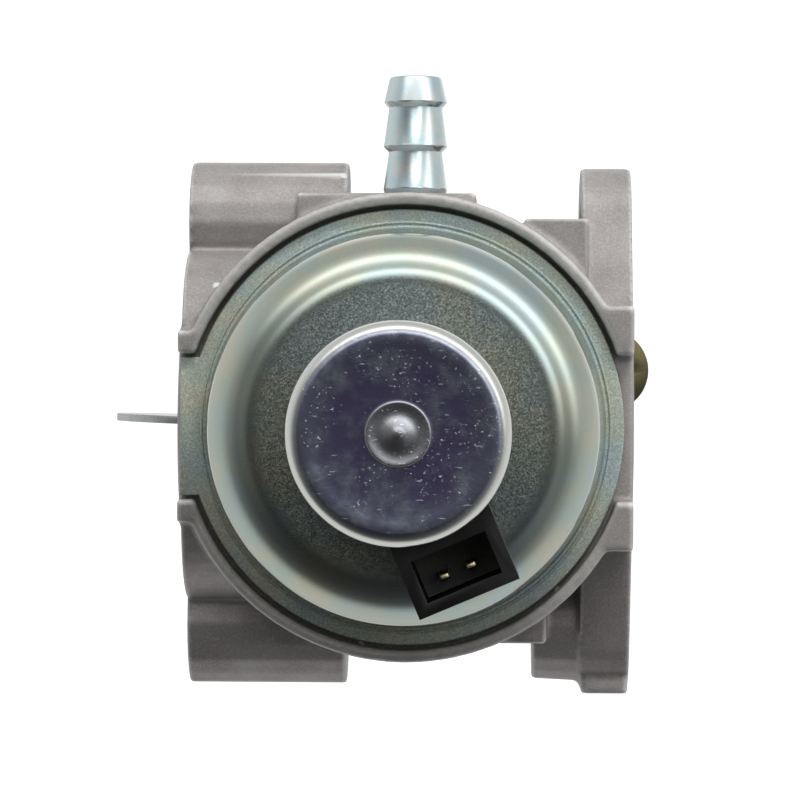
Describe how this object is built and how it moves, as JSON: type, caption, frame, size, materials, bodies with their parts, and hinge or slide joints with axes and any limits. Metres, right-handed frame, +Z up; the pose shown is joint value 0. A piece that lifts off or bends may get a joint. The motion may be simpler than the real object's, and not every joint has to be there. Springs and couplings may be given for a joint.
{
  "type": "carburettor",
  "caption": "Single-barrel float-bowl carburettor with choke and throttle butterflies, barbed fuel inlet and an electric fuel shut-off solenoid under the bowl.",
  "frame": {"origin": "where the axis of the bore meets the engine flange face", "axes": "+X out of the engine flange, the way the air flows; +Z up, with the float bowl below; the fuel inlet barb points along -Y"},
  "size_m": [0.0713, 0.08, 0.0978],
  "materials": {
    "cast_aluminium": "as die-cast, matt",
    "zinc_steel": "clear passivated zinc",
    "bright_zinc": "bright zinc",
    "yellow_zinc": "yellow passivated zinc",
    "steel": "ground",
    "brass": "turned",
    "copper_wire": "enamelled wire",
    "black_plastic": "moulded",
    "nylon": "moulded",
    "black_rubber": "matt"
  },
  "bodies": {
    "carburettor_body": {"body_casting": "cast_aluminium", "float_bowl": "zinc_steel", "bowl_gasket": "black_rubber", "float_hinge_pin": "steel", "needle_seat": "brass", "fuel_inlet_barb": "bright_zinc", "main_jet": "brass", "main_nozzle": "brass", "pilot_jet": "brass", "cup_plug": "steel", "mixture_screw_spring": "steel", "idle_speed_spring": "steel", "choke_shaft_seal": "black_rubber", "choke_return_spring": "steel", "throttle_shaft_seal": "black_rubber", "throttle_return_spring": "steel", "solenoid_can": "zinc_steel", "solenoid_base": "zinc_steel", "solenoid_pole": "zinc_steel", "solenoid_bobbin": "nylon", "solenoid_coil": "copper_wire", "plunger_spring": "steel", "solenoid_gasket": "black_rubber", "solenoid_connector": "black_plastic", "terminal_pin_1": "brass", "terminal_pin_2": "brass"},
    "throttle": {"throttle_shaft": "steel", "throttle_plate": "bright_zinc", "throttle_plate_screw_1": "brass", "throttle_plate_screw_2": "brass", "throttle_lever": "yellow_zinc", "throttle_lever_screw": "bright_zinc"},
    "choke": {"choke_shaft": "steel", "choke_plate": "bright_zinc", "choke_plate_screw_1": "brass", "choke_plate_screw_2": "brass", "choke_lever": "yellow_zinc", "choke_lever_screw": "bright_zinc"},
    "float_arm": {"float": "nylon"},
    "needle": {"inlet_needle": "brass"},
    "plunger": {"solenoid_plunger": "steel", "plunger_tip": "black_rubber"},
    "speed_screw": {"idle_speed_screw": "bright_zinc"},
    "mixture_screw": {"idle_mixture_screw": "brass"}
  },
  "joints": [
    {"name": "throttle_turn", "type": "hinge", "parent": "carburettor_body", "child": "throttle", "pos_m": [-0.012, 0, 0], "axis": [0, 0, -1], "range_deg": [0, 75], "stiffness_Nm_per_rad": 0.01, "springref_deg": -17.19},
    {"name": "choke_turn", "type": "hinge", "parent": "carburettor_body", "child": "choke", "pos_m": [-0.0525, 0, 0], "axis": [0, 0, 1], "range_deg": [0, 75], "stiffness_Nm_per_rad": 0.01, "springref_deg": -17.19},
    {"name": "float_swing", "type": "hinge", "parent": "carburettor_body", "child": "float_arm", "pos_m": [-0.029, -0.02, -0.021], "axis": [-1, 0, 0], "range_deg": [0, 8]},
    {"name": "needle_slide", "type": "slide", "parent": "carburettor_body", "child": "needle", "axis": [0, 0, -1], "range_m": [0, 0.0007]},
    {"name": "plunger_slide", "type": "slide", "parent": "carburettor_body", "child": "plunger", "axis": [0, 0, -1], "range_m": [0, 0.002], "stiffness_N_per_m": 200, "springref_m": -0.002, "deforming": ["plunger_spring"]},
    {"name": "speed_screw_turn", "type": "hinge", "parent": "carburettor_body", "child": "speed_screw", "pos_m": [-0.02, 0.0082, 0.0228], "axis": [1, 0, 0], "range_deg": [-180, 180]},
    {"name": "mixture_screw_turn", "type": "hinge", "parent": "carburettor_body", "child": "mixture_screw", "pos_m": [-0.024, -0.009, 0.015], "axis": [0, 0, 1], "range_deg": [-180, 180]}
  ],
  "couplings": [
    {"joint": "needle_slide", "follows": "float_swing", "m_per_rad": 0.0045}
  ]
}
